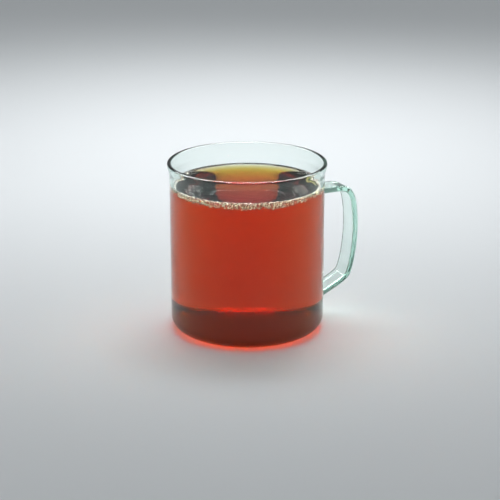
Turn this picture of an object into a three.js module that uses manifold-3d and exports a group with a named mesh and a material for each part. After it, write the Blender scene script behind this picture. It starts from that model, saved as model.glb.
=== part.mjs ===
// A clear glass mug of black tea: a straight thin wall with a flared lip, a strap handle fused
// to its side, and the tea with a ring of froth bubbles round its edge.
// Millimetres, +Z up. The mug stands on z = 0 with its axis on Z, and the handle points along +X.
import * as THREE from 'three';
import { mergeVertices } from 'three/addons/utils/BufferGeometryUtils.js';
import { LoftGeometry } from 'three/addons/geometries/LoftGeometry.js';
import Module from 'manifold-3d';

// Mug body
const MUG_HEIGHT = 93.5;
const BODY_RADIUS = 42;
const WALL = 2;
const BASE = 1.8;
const HEEL_RADIUS = 6.8;
const INNER_HEEL_RADIUS = 5;
const LIP_FLARE = 1.1;
const LIP_LENGTH = 7;
const LIP_BEAD_RADIUS = 1.1;
const BODY_SEGMENTS = 96;

// Strap handle: its centre line as x, z from the mug's axis and foot, then its section
const HANDLE_LINE = [
  [38, 72.9], [47, 72.9], [55.5, 72.7], [59.4, 71.2], [61.7, 67.7], [63.1, 61.7], [64, 49.7],
  [63.1, 36.9], [61, 26.4], [58.9, 21.7], [55.2, 19], [47.3, 14.8], [38, 10.3],
];
const STRAP_WIDTH = 13;
const STRAP_THICKNESS = 3.1;
const STRAP_EDGE_RADIUS = 1;
const STRAP_STATIONS = 46;
const ROOT_FLARE = 1.4;
const ROOT_FLARE_LENGTH = 6;

// Tea, with the clearance that keeps it off the glass
const TEA_LEVEL = 80.5;
const TEA_GAP = 0.3;
const MENISCUS_RISE = 0.9;
const MENISCUS_WIDTH = 2.4;
const TEA_SEGMENTS = 72;

// Froth bubbles: sizes, how many round the ring, and the arc that stays nearly bare
const BUBBLE_COUNT = 64;
const BUBBLE_RADIUS_MAX = 1.35;
const BUBBLE_RADIUS_MIN = 0.75;
const BUBBLE_SINK = 0.35;
const BARE_ARC_CENTRE_DEG = 65;
const BARE_ARC_HALF_DEG = 50;
const BUBBLE_SEED = 20417;

const wasm = await Module();
wasm.setup();

// A closed three.js geometry as a solid that can be joined or cut
function solid(geometry) {
  const bare = new THREE.BufferGeometry().copy(geometry);
  bare.deleteAttribute('normal');
  bare.deleteAttribute('uv');
  const merged = mergeVertices(bare, 1e-4);
  return new wasm.Manifold(new wasm.Mesh({
    numProp: 3,
    vertProperties: new Float32Array(merged.attributes.position.array),
    triVerts: new Uint32Array(merged.index.array),
  }));
}

// A solid back to a three.js geometry
function geometryOf(body) {
  const mesh = body.getMesh();
  const geometry = new THREE.BufferGeometry();
  geometry.setAttribute('position', new THREE.BufferAttribute(new Float32Array(mesh.vertProperties), 3));
  geometry.setIndex(new THREE.BufferAttribute(new Uint32Array(mesh.triVerts), 1));
  geometry.computeVertexNormals();
  return geometry;
}

// A profile of radius, height points turned round the Z axis
function turned(profile, segments) {
  return new THREE.LatheGeometry(profile, segments).rotateX(Math.PI / 2);
}

// Points of a round corner from one angle to another, both ends included
function arc(centreR, centreZ, radius, fromDeg, toDeg, steps) {
  return Array.from({ length: steps + 1 }, (_, i) => {
    const angle = THREE.MathUtils.degToRad(THREE.MathUtils.lerp(fromDeg, toDeg, i / steps));
    return new THREE.Vector2(centreR + radius * Math.cos(angle), centreZ + radius * Math.sin(angle));
  });
}

// Middle of the wall at a height: straight, then eased outwards into the lip
function wallMiddle(z) {
  const lipTop = MUG_HEIGHT - LIP_BEAD_RADIUS;
  return BODY_RADIUS - WALL / 2 + LIP_FLARE * THREE.MathUtils.smoothstep(z, lipTop - LIP_LENGTH, lipTop);
}

// Half the wall's thickness at a height: it swells a little into the fire-polished lip
function wallHalf(z) {
  const lipTop = MUG_HEIGHT - LIP_BEAD_RADIUS;
  const swell = THREE.MathUtils.smoothstep(z, lipTop - LIP_LENGTH / 2, lipTop);
  return THREE.MathUtils.lerp(WALL / 2, LIP_BEAD_RADIUS, swell);
}

// The glass of revolution: foot, outside, lip, inside and floor
function mugShell() {
  const lipTop = MUG_HEIGHT - LIP_BEAD_RADIUS;
  const lipStart = lipTop - LIP_LENGTH;
  const inner = BODY_RADIUS - WALL;
  const lipHeights = [0, 0.3, 0.5, 0.75].map((t) => lipStart + t * LIP_LENGTH);
  const outside = lipHeights.map((z) => new THREE.Vector2(wallMiddle(z) + wallHalf(z), z));
  const inside = lipHeights.map((z) => new THREE.Vector2(wallMiddle(z) - wallHalf(z), z)).reverse();
  return turned([
    new THREE.Vector2(0, 0),
    ...arc(BODY_RADIUS - HEEL_RADIUS, HEEL_RADIUS, HEEL_RADIUS, -90, 0, 4),
    ...outside,
    ...arc(wallMiddle(lipTop), lipTop, LIP_BEAD_RADIUS, 0, 180, 6),
    ...inside,
    ...arc(inner - INNER_HEEL_RADIUS, BASE + INNER_HEEL_RADIUS, INNER_HEEL_RADIUS, 0, -90, 4),
    new THREE.Vector2(0, BASE),
  ], BODY_SEGMENTS);
}

// The strap's outline, a rectangle with rounded edges: across its thickness and its width
function strapSection(thickness, width) {
  const a = thickness / 2 - STRAP_EDGE_RADIUS;
  const b = width / 2 - STRAP_EDGE_RADIUS;
  return [
    ...arc(a, b, STRAP_EDGE_RADIUS, 0, 90, 3),
    ...arc(-a, b, STRAP_EDGE_RADIUS, 90, 180, 3),
    ...arc(-a, -b, STRAP_EDGE_RADIUS, 180, 270, 3),
    ...arc(a, -b, STRAP_EDGE_RADIUS, 270, 360, 3),
  ];
}

// The bent strap, with both ends inside the wall and spread where they are fused to it
function strapHandle() {
  const line = new THREE.CatmullRomCurve3(HANDLE_LINE.map(([x, z]) => new THREE.Vector3(x, 0, z)));
  const sideways = new THREE.Vector3(0, 1, 0);
  const sections = [];
  for (let i = 0; i <= STRAP_STATIONS; i += 1) {
    const centre = line.getPointAt(i / STRAP_STATIONS);
    const outwards = new THREE.Vector3().crossVectors(sideways, line.getTangentAt(i / STRAP_STATIONS));
    const fromWall = THREE.MathUtils.clamp((centre.x - BODY_RADIUS) / ROOT_FLARE_LENGTH, 0, 1);
    const flare = 2 * ROOT_FLARE * (1 - fromWall) ** 2;
    sections.push(strapSection(STRAP_THICKNESS + flare, STRAP_WIDTH + flare).map((p) => (
      centre.clone().addScaledVector(outwards, p.x).addScaledVector(sideways, p.y)
    )));
  }
  return new LoftGeometry(sections, { capStart: true, capEnd: true });
}

// The handle ends halfway into the wall, so nothing of it shows inside the mug
function glassMug() {
  const wallCore = turned([
    new THREE.Vector2(0, -1),
    new THREE.Vector2(BODY_RADIUS - WALL / 2, -1),
    new THREE.Vector2(BODY_RADIUS - WALL / 2, MUG_HEIGHT + 1),
    new THREE.Vector2(0, MUG_HEIGHT + 1),
  ], BODY_SEGMENTS);
  const handle = solid(strapHandle()).subtract(solid(wallCore));
  return geometryOf(solid(mugShell()).add(handle));
}

// The tea fills the mug's floor and wall, and its surface climbs a little at the glass
function teaBody() {
  const radius = BODY_RADIUS - WALL - TEA_GAP;
  const heel = INNER_HEEL_RADIUS - TEA_GAP;
  const floor = BASE + TEA_GAP;
  const climb = [1, 0.6, 0.3, 0].map((t) => (
    new THREE.Vector2(radius - MENISCUS_WIDTH * (1 - t), TEA_LEVEL + MENISCUS_RISE * t * t)
  ));
  return turned([
    new THREE.Vector2(0, floor),
    ...arc(radius - heel, floor + heel, heel, -90, 0, 4),
    ...climb,
    new THREE.Vector2(0, TEA_LEVEL),
  ], TEA_SEGMENTS);
}

// Repeatable random numbers from 0 to 1
function seededRandom(seed) {
  let state = seed;
  return () => {
    state = (state * 1664525 + 1013904223) % 4294967296;
    return state / 4294967296;
  };
}

// Bubbles side by side along the tea's edge, the largest first, few of them in the bare arc
function frothBubbles() {
  const random = seededRandom(BUBBLE_SEED);
  const bubbles = [];
  const tries = BUBBLE_COUNT * 40;
  for (let i = 0; i < tries && bubbles.length < BUBBLE_COUNT; i += 1) {
    const size = 1 - bubbles.length / BUBBLE_COUNT;
    const radius = THREE.MathUtils.lerp(BUBBLE_RADIUS_MIN, BUBBLE_RADIUS_MAX, size ** 2);
    const angle = 360 * random();
    const away = Math.abs(((angle - BARE_ARC_CENTRE_DEG + 540) % 360) - 180);
    const ring = BODY_RADIUS - WALL - 2 * TEA_GAP - radius - 1.6 * random() ** 2;
    const centre = new THREE.Vector3().setFromCylindricalCoords(ring, THREE.MathUtils.degToRad(angle), 0);
    const spot = new THREE.Vector3(centre.z, centre.x, TEA_LEVEL + radius * BUBBLE_SINK);
    const crowded = bubbles.some((b) => b.spot.distanceTo(spot) < 0.8 * (b.radius + radius));
    if (away > BARE_ARC_HALF_DEG && !crowded) {
      bubbles.push({ spot, radius });
    }
  }
  return bubbles;
}

// Tea and froth as one body
function tea() {
  let body = solid(teaBody());
  for (const { spot, radius } of frothBubbles()) {
    const bubble = new THREE.OctahedronGeometry(radius, 1).translate(spot.x, spot.y, spot.z);
    body = body.add(solid(bubble));
  }
  return geometryOf(body);
}

const cup = new THREE.Group();
cup.name = 'glass_cup_of_tea';

const mug = new THREE.Mesh(glassMug(), new THREE.MeshStandardMaterial({
  color: 0xcfe3da,
  roughness: 0.04,
  metalness: 0,
  transparent: true,
  opacity: 0.35,
}));
mug.name = 'glass_mug';

const drink = new THREE.Mesh(tea(), new THREE.MeshStandardMaterial({
  color: 0xad3411,
  roughness: 0.08,
  metalness: 0,
}));
drink.name = 'tea';

cup.add(mug, drink);

export default cup;
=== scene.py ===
import math

import bpy
import numpy as np
from mathutils import Euler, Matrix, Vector


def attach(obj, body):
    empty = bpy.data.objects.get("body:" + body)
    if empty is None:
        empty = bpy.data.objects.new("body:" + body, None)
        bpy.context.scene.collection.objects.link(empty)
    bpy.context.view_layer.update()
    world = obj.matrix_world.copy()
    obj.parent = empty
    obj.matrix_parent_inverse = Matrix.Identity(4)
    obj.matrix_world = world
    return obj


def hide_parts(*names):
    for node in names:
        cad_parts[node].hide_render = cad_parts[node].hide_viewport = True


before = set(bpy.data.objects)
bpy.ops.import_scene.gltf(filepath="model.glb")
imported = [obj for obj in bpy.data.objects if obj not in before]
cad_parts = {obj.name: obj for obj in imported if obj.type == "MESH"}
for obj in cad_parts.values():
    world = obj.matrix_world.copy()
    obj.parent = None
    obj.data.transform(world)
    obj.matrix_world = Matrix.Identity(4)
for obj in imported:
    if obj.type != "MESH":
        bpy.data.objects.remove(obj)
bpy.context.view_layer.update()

# Glass mug
# A mug of clear heat-proof glass: a straight blown body with a thin floor, a lip that is flared and
# fire-polished, and a flat glass strap that is bent hot and fused to the wall at both ends.
MUG_HEIGHT = 0.0935
BODY_RADIUS = 0.042
WALL = 0.002
MUG_FLOOR = 0.0018
HEEL_RADIUS = 0.0068
INNER_HEEL_RADIUS = 0.0050
LIP_FLARE = 0.0011
LIP_LENGTH = 0.007
LIP_BEAD = 0.0011
MUG_SEGMENTS = 240
STRAP_LINE = [
    (0.041, 0.0729), (0.047, 0.0729), (0.0555, 0.0727), (0.0594, 0.0712), (0.0617, 0.0677),
    (0.0631, 0.0617), (0.0640, 0.0497), (0.0631, 0.0369), (0.0610, 0.0264), (0.0589, 0.0217),
    (0.0552, 0.0190), (0.0473, 0.0148), (0.041, 0.0117),
]
STRAP_WIDTH = 0.013
STRAP_THICKNESS = 0.0031
STRAP_EDGE = 0.0010
STRAP_STATIONS = 180
ROOT_FILLET = 0.0018
ROOT_REACH = 0.0045
ROOT_SINK = 0.00012
UPRIGHT_FROM = 0.0005
UPRIGHT_TO = 0.009
WRAP_REACH = 0.010
FOOT_RING = 0.018
GLASS_IOR = 1.47
GLASS_MIRROR = (0.45, 0.45, 0.45)
GLASS_TINT = (0.55, 0.90, 0.78)
GLASS_TINT_DENSITY = 90.0
SMEAR_SCALE = 90.0
SMEAR_ROUGHNESS = 0.03
WAVE_SCALE = 34.0
WAVE_STRENGTH = 0.012
WAVE_DEPTH = 0.0004


def smoothstep(x, low, high):
    t = np.clip((np.asarray(x, float) - low) / (high - low), 0.0, 1.0)
    return t * t * (3.0 - 2.0 * t)


def corner(centre_r, centre_z, radius, start_deg, end_deg, steps):
    angles = np.radians(np.linspace(start_deg, end_deg, steps + 1))
    return [(centre_r + radius * math.cos(a), centre_z + radius * math.sin(a)) for a in angles]


def new_piece(name, verts, faces, smooth=True):
    mesh = bpy.data.meshes.new(name)
    mesh.from_pydata([tuple(v) for v in verts], [], faces)
    mesh.validate()
    if smooth:
        mesh.shade_smooth()
    piece = bpy.data.objects.new(name, mesh)
    bpy.context.scene.collection.objects.link(piece)
    return piece


def turned(name, profile, segments):
    """A closed body of revolution from a profile that starts and ends on the Z axis."""
    angles = np.linspace(0.0, 2.0 * math.pi, segments, endpoint=False)
    verts = [(0.0, 0.0, profile[0][1])]
    for r, z in profile[1:-1]:
        verts.extend((r * math.cos(a), r * math.sin(a), z) for a in angles)
    verts.append((0.0, 0.0, profile[-1][1]))
    rings = len(profile) - 2
    top = len(verts) - 1
    faces = []
    for j in range(segments):
        k = (j + 1) % segments
        faces.append((0, 1 + k, 1 + j))
        for i in range(rings - 1):
            a = 1 + i * segments
            b = a + segments
            faces.append((a + j, a + k, b + k, b + j))
        last = 1 + (rings - 1) * segments
        faces.append((last + j, last + k, top))
    return new_piece(name, verts, faces)


lip_top = MUG_HEIGHT - LIP_BEAD
lip_start = lip_top - LIP_LENGTH
lip_z = np.linspace(lip_start, lip_top, 15)[:-1]
lip_middle = BODY_RADIUS - WALL / 2 + LIP_FLARE * smoothstep(lip_z, lip_start, lip_top)
lip_half = WALL / 2 + (LIP_BEAD - WALL / 2) * smoothstep(lip_z, lip_top - LIP_LENGTH / 2, lip_top)
inner_radius = BODY_RADIUS - WALL
outer_rows = [(BODY_RADIUS, z) for z in np.linspace(HEEL_RADIUS, lip_start, 22)[1:-1]]
inner_foot = MUG_FLOOR + INNER_HEEL_RADIUS
inner_rows = [(inner_radius, z) for z in np.linspace(lip_start, inner_foot, 22)[1:-1]]
mug_profile = (
    [(0.0, 0.0), (FOOT_RING, 0.0)]
    + corner(BODY_RADIUS - HEEL_RADIUS, HEEL_RADIUS, HEEL_RADIUS, -90, 0, 14)
    + outer_rows
    + list(zip(lip_middle + lip_half, lip_z))
    + corner(BODY_RADIUS - WALL / 2 + LIP_FLARE, lip_top, LIP_BEAD, 0, 180, 16)
    + list(zip(lip_middle - lip_half, lip_z))[::-1]
    + inner_rows
    + corner(inner_radius - INNER_HEEL_RADIUS, inner_foot, INNER_HEEL_RADIUS, 0, -90, 12)
    + [(FOOT_RING, MUG_FLOOR), (0.0, MUG_FLOOR)]
)
mug = turned("glass_mug_clear", mug_profile, MUG_SEGMENTS)

# The strap's centre line, a smooth curve through its points at even steps
knots = np.array(STRAP_LINE)
knots = np.vstack([2 * knots[0] - knots[1], knots, 2 * knots[-1] - knots[-2]])
dense = []
for i in range(1, len(knots) - 2):
    p = knots[i - 1 : i + 3]
    t = np.concatenate([[0.0], np.cumsum(np.linalg.norm(np.diff(p, axis=0), axis=1) ** 0.5)])
    for s in np.linspace(t[1], t[2], 40, endpoint=False):
        a = [((t[j + 1] - s) * p[j] + (s - t[j]) * p[j + 1]) / (t[j + 1] - t[j]) for j in range(3)]
        b = [((t[j + 2] - s) * a[j] + (s - t[j]) * a[j + 1]) / (t[j + 2] - t[j]) for j in range(2)]
        dense.append(((t[2] - s) * b[0] + (s - t[1]) * b[1]) / (t[2] - t[1]))
dense = np.array(dense + [knots[-2]])
along = np.concatenate([[0.0], np.cumsum(np.linalg.norm(np.diff(dense, axis=0), axis=1))])
even = np.linspace(0.0, along[-1], STRAP_STATIONS)
line = np.column_stack([np.interp(even, along, dense[:, k]) for k in (0, 1)])
tangent = np.gradient(line, axis=0)
tangent /= np.linalg.norm(tangent, axis=1)[:, None]

# Its section, a rectangle with rounded edges, spread into a fillet where it meets the wall
strap_verts = []
for (x, z), (tx, tz) in zip(line, tangent):
    clear = x - BODY_RADIUS + ROOT_SINK
    reach = min(max(clear / ROOT_REACH, 0.0), 1.0)
    spread = ROOT_FILLET * (1.0 - math.sqrt(1.0 - (1.0 - reach) ** 2))
    upright = 1.0 - float(smoothstep(clear, UPRIGHT_FROM, UPRIGHT_TO))
    normal = np.array([-tz, tx])
    normal = (1.0 - upright) * normal + upright * np.array([0.0, math.copysign(1.0, normal[1])])
    normal /= np.linalg.norm(normal)
    half_t = STRAP_THICKNESS / 2 + spread - STRAP_EDGE
    half_w = STRAP_WIDTH / 2 + spread - STRAP_EDGE
    outline = (
        corner(half_t, half_w, STRAP_EDGE, 0, 90, 6)
        + [(0.0, half_w + STRAP_EDGE)]
        + corner(-half_t, half_w, STRAP_EDGE, 90, 180, 6)
        + [(-half_t - STRAP_EDGE, half_w * s) for s in (0.6, 0.2, -0.2, -0.6)]
        + corner(-half_t, -half_w, STRAP_EDGE, 180, 270, 6)
        + [(0.0, -half_w - STRAP_EDGE)]
        + corner(half_t, -half_w, STRAP_EDGE, 270, 360, 6)
        + [(half_t + STRAP_EDGE, half_w * s) for s in (-0.6, -0.2, 0.2, 0.6)]
    )
    wrap = 1.0 - float(smoothstep(clear, 0.0, WRAP_REACH))
    for across, side in outline:
        set_back = wrap * (BODY_RADIUS - math.sqrt(BODY_RADIUS**2 - side**2))
        strap_verts.append((x + normal[0] * across - set_back, side, z + normal[1] * across))
ring = len(strap_verts) // STRAP_STATIONS
strap_faces = [tuple(range(ring)), tuple(range(len(strap_verts) - 1, len(strap_verts) - ring - 1, -1))]
for i in range(STRAP_STATIONS - 1):
    for j in range(ring):
        k = (j + 1) % ring
        a = i * ring
        b = a + ring
        strap_faces.append((a + j, b + j, b + k, a + k))
strap = new_piece("strap", strap_verts, strap_faces)

# Body and strap become one piece of glass
union = mug.modifiers.new("fused", "BOOLEAN")
union.operation = "UNION"
union.solver = "MANIFOLD"
union.object = strap
weighted = mug.modifiers.new("normals", "WEIGHTED_NORMAL")
weighted.weight = 60
bpy.context.view_layer.update()
fused = bpy.data.meshes.new_from_object(mug.evaluated_get(bpy.context.evaluated_depsgraph_get()))
mug.modifiers.clear()
mug.data = fused
fused.name = "glass_mug_clear"
bpy.data.objects.remove(strap)

# Clear glass with faint smears and waves. Its mirror reflection is lowered, because the tea reaches into
# the wall, and the two surfaces there would reflect twice.
glass = bpy.data.materials.new("clear_glass")
glass.use_nodes = True
nodes = glass.node_tree.nodes
links = glass.node_tree.links
shader = nodes["Principled BSDF"]
shader.inputs["Base Color"].default_value = (1.0, 1.0, 1.0, 1.0)
shader.inputs["Transmission Weight"].default_value = 1.0
shader.inputs["IOR"].default_value = GLASS_IOR
shader.inputs["Specular Tint"].default_value = (*GLASS_MIRROR, 1.0)
where = nodes.new("ShaderNodeTexCoord")
wipe = nodes.new("ShaderNodeTexNoise")
wipe.inputs["Scale"].default_value = SMEAR_SCALE
wipe.inputs["Detail"].default_value = 4.0
links.new(where.outputs["Object"], wipe.inputs["Vector"])
smear = nodes.new("ShaderNodeMapRange")
smear.inputs["From Min"].default_value = 0.45
smear.inputs["From Max"].default_value = 0.80
smear.inputs["To Min"].default_value = 0.0
smear.inputs["To Max"].default_value = SMEAR_ROUGHNESS
links.new(wipe.outputs["Fac"], smear.inputs["Value"])
links.new(smear.outputs["Result"], shader.inputs["Roughness"])
wave = nodes.new("ShaderNodeTexNoise")
wave.inputs["Scale"].default_value = WAVE_SCALE
wave.inputs["Detail"].default_value = 1.0
links.new(where.outputs["Object"], wave.inputs["Vector"])
bump = nodes.new("ShaderNodeBump")
bump.inputs["Strength"].default_value = WAVE_STRENGTH
bump.inputs["Distance"].default_value = WAVE_DEPTH
links.new(wave.outputs["Fac"], bump.inputs["Height"])
links.new(bump.outputs["Normal"], shader.inputs["Normal"])
depth = nodes.new("ShaderNodeVolumeAbsorption")
depth.inputs["Color"].default_value = (*GLASS_TINT, 1.0)
depth.inputs["Density"].default_value = GLASS_TINT_DENSITY
links.new(depth.outputs["Volume"], nodes["Material Output"].inputs["Volume"])
mug.data.materials.clear()
mug.data.materials.append(glass)
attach(mug, "root")
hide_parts("glass_mug")

# Tea
# Clear black tea that wets the glass: it fills the mug from its floor to the level, and its surface climbs
# the wall in a small meniscus. Its colour comes from the depth of tea that is looked through.
TEA_LEVEL = 0.0798
TEA_INTO_GLASS = 0.00008
MENISCUS_RISE = 0.0019
MENISCUS_REACH = 0.0027
TEA_SEGMENTS = 240
TEA_IOR = 1.333
TEA_MIRROR = (0.45, 0.45, 0.45)
TEA_ABSORPTION = (5.8, 45.0, 240.0)
RIPPLE_SCALE = 60.0
RIPPLE_STRENGTH = 0.003
RIPPLE_DEPTH = 0.0002

tea_radius = inner_radius + TEA_INTO_GLASS
tea_floor = MUG_FLOOR - TEA_INTO_GLASS
tea_heel = INNER_HEEL_RADIUS + TEA_INTO_GLASS
climb = tea_radius - np.concatenate([0.016 * np.linspace(0.0, 1.0, 40) ** 1.5, [0.020, 0.028]])
tea_top = [(r, TEA_LEVEL + MENISCUS_RISE * math.exp((r - tea_radius) / MENISCUS_REACH)) for r in climb]
tea_profile = (
    [(0.0, tea_floor), (FOOT_RING, tea_floor)]
    + corner(tea_radius - tea_heel, tea_floor + tea_heel, tea_heel, -90, 0, 12)
    + [(tea_radius, z) for z in np.linspace(tea_floor + tea_heel, TEA_LEVEL, 16)[1:]]
    + tea_top
    + [(0.0, TEA_LEVEL)]
)
tea = turned("tea_liquid", tea_profile, TEA_SEGMENTS)

brew = bpy.data.materials.new("black_tea")
brew.use_nodes = True
nodes = brew.node_tree.nodes
links = brew.node_tree.links
shader = nodes["Principled BSDF"]
shader.inputs["Base Color"].default_value = (1.0, 1.0, 1.0, 1.0)
shader.inputs["Roughness"].default_value = 0.0
shader.inputs["Transmission Weight"].default_value = 1.0
shader.inputs["IOR"].default_value = TEA_IOR
shader.inputs["Specular Tint"].default_value = (*TEA_MIRROR, 1.0)
where = nodes.new("ShaderNodeTexCoord")
ripple = nodes.new("ShaderNodeTexNoise")
ripple.inputs["Scale"].default_value = RIPPLE_SCALE
ripple.inputs["Detail"].default_value = 1.0
links.new(where.outputs["Object"], ripple.inputs["Vector"])
bump = nodes.new("ShaderNodeBump")
bump.inputs["Strength"].default_value = RIPPLE_STRENGTH
bump.inputs["Distance"].default_value = RIPPLE_DEPTH
links.new(ripple.outputs["Fac"], bump.inputs["Height"])
links.new(bump.outputs["Normal"], shader.inputs["Normal"])
depth = nodes.new("ShaderNodeVolumeAbsorption")
strongest = max(TEA_ABSORPTION)
depth.inputs["Color"].default_value = (*(1.0 - a / strongest for a in TEA_ABSORPTION), 1.0)
depth.inputs["Density"].default_value = strongest
links.new(depth.outputs["Volume"], nodes["Material Output"].inputs["Volume"])
tea.data.materials.append(brew)
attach(tea, "root")
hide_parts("tea")

# Froth
# The ring of bubbles that pouring leaves where the tea meets the glass: thin films of tea round air, packed
# against the wall at the front and thinning out to the sides. They float half sunk and hold to each other.
FROTH_MIDDLE = math.radians(245.0)
FROTH_FULL_ARC = math.radians(88.0)
FROTH_HALF_ARC = math.radians(128.0)
FROTH_THICK_ARC = math.radians(30.0)
FROTH_BELOW = 0.0012
FROTH_ABOVE = 0.0012
FROTH_INWARDS = 0.0016
FROTH_OFF_WALL = 0.0003
FROTH_THIN = 0.75
FROTH_SWELL = 0.75
FROTH_UNEVEN = 0.16
FROTH_LEAST = 0.2
BUBBLE_CLEARANCE = 0.00004
FROTH_SEED = 20417
FROTH_PALE = (1.0, 0.92, 0.87)
FROTH_TEA = (0.50, 0.17, 0.07)
FROTH_TONE_LOW = 0.15
FROTH_TONE_HIGH = 2.0
BED_ROWS = 14
BED_COLUMNS = 420
BED_WALL_SHARE = 0.6

draw = np.random.default_rng(FROTH_SEED)
waves = [(k, draw.uniform(0.0, 2.0 * math.pi), draw.uniform(0.6, 1.0)) for k in (5, 9, 14, 23, 37)]
bed_verts = []
bed_share = []
for turn in np.linspace(0.0, 2.0 * math.pi, BED_COLUMNS, endpoint=False):
    away = abs((turn - FROTH_MIDDLE + math.pi) % (2.0 * math.pi) - math.pi)
    share = 1.0 - float(smoothstep(away, FROTH_FULL_ARC, FROTH_HALF_ARC))
    thick = FROTH_THIN + FROTH_SWELL * math.exp(-((away / FROTH_THICK_ARC) ** 2))
    thick *= 1.0 + FROTH_UNEVEN * sum(size * math.sin(k * turn + start) for k, start, size in waves)
    for row in range(BED_ROWS):
        step = row / (BED_ROWS - 1)
        if step < BED_WALL_SHARE:
            drop = 1.0 - step / BED_WALL_SHARE
            radius = inner_radius - FROTH_OFF_WALL
            height = TEA_LEVEL + FROTH_ABOVE - (FROTH_ABOVE + FROTH_BELOW * thick) * drop
        else:
            inwards = FROTH_INWARDS * thick * (step - BED_WALL_SHARE) / (1.0 - BED_WALL_SHARE)
            radius = inner_radius - FROTH_OFF_WALL - inwards
            height = TEA_LEVEL + MENISCUS_RISE * math.exp((radius - tea_radius) / MENISCUS_REACH)
        bed_verts.append((radius * math.cos(turn), radius * math.sin(turn), height))
        bed_share.append(share * max(thick, FROTH_LEAST))
bed_faces = []
for i in range(BED_COLUMNS):
    a = i * BED_ROWS
    b = ((i + 1) % BED_COLUMNS) * BED_ROWS
    bed_faces.extend((a + j, b + j, b + j + 1, a + j + 1) for j in range(BED_ROWS - 1))
froth = new_piece("tea_froth", bed_verts, bed_faces)
share_layer = froth.data.attributes.new("share", "FLOAT", "POINT")
share_layer.data.foreach_set("value", bed_share)

film = bpy.data.materials.new("froth_film")
film.use_nodes = True
nodes = film.node_tree.nodes
links = film.node_tree.links
shader = nodes["Principled BSDF"]
shader.inputs["Roughness"].default_value = 0.12
shader.inputs["Coat Weight"].default_value = 0.5
tone = nodes.new("ShaderNodeAttribute")
tone.attribute_name = "tone"
colour = nodes.new("ShaderNodeMix")
colour.data_type = "RGBA"
links.new(tone.outputs["Fac"], colour.inputs["Factor"])
colour.inputs[6].default_value = (*FROTH_TEA, 1.0)
colour.inputs[7].default_value = (*FROTH_PALE, 1.0)
links.new(colour.outputs[2], shader.inputs["Base Color"])

# Bubbles scattered over the bed, small ones the most, each pulled inside the glass and given its own tone
tree = bpy.data.node_groups.new("froth_bubbles", "GeometryNodeTree")
tree.interface.new_socket("Geometry", in_out="OUTPUT", socket_type="NodeSocketGeometry")
tree.interface.new_socket("Bed", in_out="INPUT", socket_type="NodeSocketGeometry")
wanted = {}
for label, kind, value in (
    ("Bubbles per square metre", "NodeSocketFloat", 3.6e6),
    ("Closest spacing", "NodeSocketFloat", 0.00046),
    ("Smallest radius", "NodeSocketFloat", 0.00020),
    ("Largest radius", "NodeSocketFloat", 0.00064),
    ("Lean to small", "NodeSocketFloat", 2.0),
    ("Glass radius", "NodeSocketFloat", inner_radius - BUBBLE_CLEARANCE),
    ("Facets round", "NodeSocketInt", 8),
    ("Seed", "NodeSocketInt", FROTH_SEED),
    ("Film", "NodeSocketMaterial", film),
):
    socket = tree.interface.new_socket(label, in_out="INPUT", socket_type=kind)
    wanted[socket.identifier] = value
bed_in = tree.nodes.new("NodeGroupInput")
froth_out = tree.nodes.new("NodeGroupOutput")


def join(source, target):
    tree.links.new(source, target)


def reckon(operation, first, second):
    node = tree.nodes.new("ShaderNodeMath")
    node.operation = operation
    for slot, value in zip(node.inputs, (first, second)):
        if isinstance(value, (int, float)):
            slot.default_value = value
        else:
            join(value, slot)
    return node.outputs["Value"]


scatter = tree.nodes.new("GeometryNodeDistributePointsOnFaces")
scatter.distribute_method = "POISSON"
share_in = tree.nodes.new("GeometryNodeInputNamedAttribute")
share_in.data_type = "FLOAT"
share_in.inputs["Name"].default_value = "share"
join(bed_in.outputs["Bed"], scatter.inputs["Mesh"])
join(bed_in.outputs["Closest spacing"], scatter.inputs["Distance Min"])
join(bed_in.outputs["Bubbles per square metre"], scatter.inputs["Density Max"])
join(share_in.outputs["Attribute"], scatter.inputs["Density Factor"])
join(bed_in.outputs["Seed"], scatter.inputs["Seed"])
chance = tree.nodes.new("FunctionNodeRandomValue")
join(bed_in.outputs["Seed"], chance.inputs["Seed"])
lean = reckon("POWER", chance.outputs[1], bed_in.outputs["Lean to small"])
spread = reckon("SUBTRACT", bed_in.outputs["Largest radius"], bed_in.outputs["Smallest radius"])
bubble_radius = reckon("ADD", bed_in.outputs["Smallest radius"], reckon("MULTIPLY", lean, spread))
place = tree.nodes.new("GeometryNodeInputPosition")
parts = tree.nodes.new("ShaderNodeSeparateXYZ")
join(place.outputs["Position"], parts.inputs["Vector"])
flat_x = reckon("MULTIPLY", parts.outputs["X"], parts.outputs["X"])
flat_y = reckon("MULTIPLY", parts.outputs["Y"], parts.outputs["Y"])
from_axis = reckon("SQRT", reckon("ADD", flat_x, flat_y), 0.0)
room = reckon("SUBTRACT", bed_in.outputs["Glass radius"], bubble_radius)
pull = reckon("MINIMUM", reckon("DIVIDE", room, from_axis), 1.0)
moved = tree.nodes.new("ShaderNodeCombineXYZ")
join(reckon("MULTIPLY", parts.outputs["X"], pull), moved.inputs["X"])
join(reckon("MULTIPLY", parts.outputs["Y"], pull), moved.inputs["Y"])
join(parts.outputs["Z"], moved.inputs["Z"])
settle = tree.nodes.new("GeometryNodeSetPosition")
join(scatter.outputs["Points"], settle.inputs["Geometry"])
join(moved.outputs["Vector"], settle.inputs["Position"])
ball = tree.nodes.new("GeometryNodeMeshUVSphere")
ball.inputs["Radius"].default_value = 1.0
ball.inputs["Rings"].default_value = 5
join(bed_in.outputs["Facets round"], ball.inputs["Segments"])
place_each = tree.nodes.new("GeometryNodeInstanceOnPoints")
join(settle.outputs["Geometry"], place_each.inputs["Points"])
join(ball.outputs["Mesh"], place_each.inputs["Instance"])
join(bubble_radius, place_each.inputs["Scale"])
shade = tree.nodes.new("FunctionNodeRandomValue")
shade.inputs[2].default_value = FROTH_TONE_LOW
shade.inputs[3].default_value = FROTH_TONE_HIGH
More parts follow.
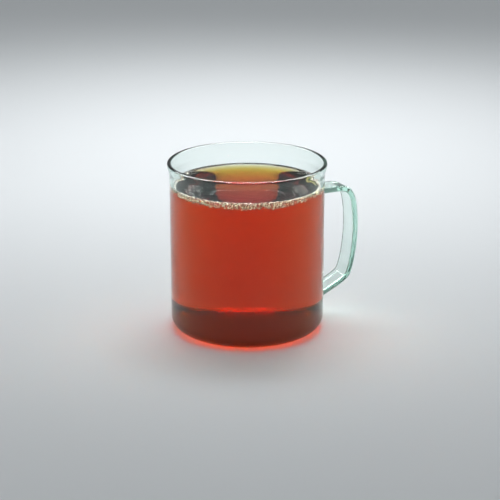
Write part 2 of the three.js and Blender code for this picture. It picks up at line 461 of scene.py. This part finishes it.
shade.inputs["Seed"].default_value = FROTH_SEED + 1
store = tree.nodes.new("GeometryNodeStoreNamedAttribute")
store.data_type = "FLOAT"
store.domain = "INSTANCE"
store.inputs["Name"].default_value = "tone"
join(place_each.outputs["Instances"], store.inputs["Geometry"])
join(shade.outputs[1], store.inputs["Value"])
real = tree.nodes.new("GeometryNodeRealizeInstances")
join(store.outputs["Geometry"], real.inputs["Geometry"])
smooth = tree.nodes.new("GeometryNodeSetShadeSmooth")
join(real.outputs["Geometry"], smooth.inputs["Geometry"])
coat = tree.nodes.new("GeometryNodeSetMaterial")
join(smooth.outputs["Geometry"], coat.inputs["Geometry"])
join(bed_in.outputs["Film"], coat.inputs["Material"])
join(coat.outputs["Geometry"], froth_out.inputs["Geometry"])

grow = froth.modifiers.new("bubbles", "NODES")
grow.node_group = tree
for identifier, value in wanted.items():
    grow[identifier] = value
bpy.context.view_layer.update()
grown = bpy.data.meshes.new_from_object(froth.evaluated_get(bpy.context.evaluated_depsgraph_get()))
froth.modifiers.clear()
froth.data = grown
grown.name = "tea_froth"
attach(froth, "root")
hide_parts("tea")

# Stage
# A plain pale floor, soft light and the camera at the photograph's viewing angle.
# None of it belongs to the object.
CAMERA_AZIMUTH = math.radians(-25.0)
CAMERA_DISTANCE = 0.850
CAMERA_HEIGHT = 0.32334
CAMERA_PITCH = math.radians(18.25)
CAMERA_ASIDE = 0.00154
FOCAL_PIXELS = 1633.1
FLOOR_COLOUR = (0.70, 0.73, 0.75)
WORLD_COLOUR = (0.29, 0.30, 0.305)
FLOOR_HALF = 4.0
FLOOR_LEVEL = -0.0003
IMAGE_PIXELS = 500.0
SENSOR_WIDTH = 36.0
MOUTH = (0.0, 0.0, 0.08)
FLOOR_BEHIND = (0.150, 0.320, 0.0)

floor = new_piece(
    "floor",
    [(x * FLOOR_HALF, y * FLOOR_HALF, FLOOR_LEVEL) for x, y in ((-1, -1), (1, -1), (1, 1), (-1, 1))],
    [(0, 1, 2, 3)],
)

paper = bpy.data.materials.new("pale_floor")
paper.use_nodes = True
base = paper.node_tree.nodes["Principled BSDF"]
base.inputs["Base Color"].default_value = (*FLOOR_COLOUR, 1.0)
base.inputs["Specular IOR Level"].default_value = 0.0
base.inputs["Roughness"].default_value = 0.6
floor.data.materials.append(paper)

world = bpy.data.worlds.new("studio")
bpy.context.scene.world = world
world.use_nodes = True
world.node_tree.nodes["Background"].inputs["Color"].default_value = (*WORLD_COLOUR, 1.0)

# Each light's bearing, height angle, distance, size, watts, fan angle and aim, and whether it only shows
# as a highlight in glass and tea
for name, azimuth, elevation, distance, size, power, spread, aim, glass_only in (
    ("overhead", 155.0, 82.0, 1.5, (1.2, 1.2), 6.0, 180.0, MOUTH, False),
    ("softbox_behind", 153.0, 52.5, 0.80, (0.58, 0.60), 1.10, 66.0, FLOOR_BEHIND, False),
    ("softbox_above", 155.0, 86.0, 0.80, (0.80, 0.60), 40.0, 180.0, MOUTH, True),
    ("softbox_left", -140.0, 44.0, 0.80, (0.75, 0.46), 10.0, 180.0, MOUTH, True),
    ("softbox_right", 88.0, 42.0, 0.80, (0.75, 0.46), 10.0, 180.0, MOUTH, True),
):
    turn = math.radians(azimuth)
    rise = math.radians(elevation)
    level = math.cos(rise)
    towards = Vector((math.sin(turn) * level, -math.cos(turn) * level, math.sin(rise)))
    place = Vector(MOUTH) + towards * distance
    lamp = bpy.data.lights.new(name, "AREA")
    lamp.shape = "RECTANGLE"
    lamp.size = size[0]
    lamp.size_y = size[1]
    lamp.energy = power
    lamp.spread = math.radians(spread)
    holder = bpy.data.objects.new(name, lamp)
    holder.location = place
    holder.rotation_euler = (Vector(aim) - place).to_track_quat("-Z", "Y").to_euler()
    holder.visible_diffuse = not glass_only
    holder.visible_camera = False
    bpy.context.scene.collection.objects.link(holder)

lens = bpy.data.cameras.new("camera")
lens.sensor_width = SENSOR_WIDTH
lens.lens = FOCAL_PIXELS / IMAGE_PIXELS * SENSOR_WIDTH
lens.clip_start = 0.01
camera = bpy.data.objects.new("camera", lens)
sin_a = math.sin(CAMERA_AZIMUTH)
cos_a = math.cos(CAMERA_AZIMUTH)
camera.location = (
    CAMERA_DISTANCE * sin_a + CAMERA_ASIDE * cos_a,
    -CAMERA_DISTANCE * cos_a + CAMERA_ASIDE * sin_a,
    CAMERA_HEIGHT,
)
camera.rotation_euler = Euler((math.pi / 2 - CAMERA_PITCH, 0.0, CAMERA_AZIMUTH))
bpy.context.scene.collection.objects.link(camera)
bpy.context.scene.camera = camera
bpy.context.scene.view_settings.view_transform = "Standard"
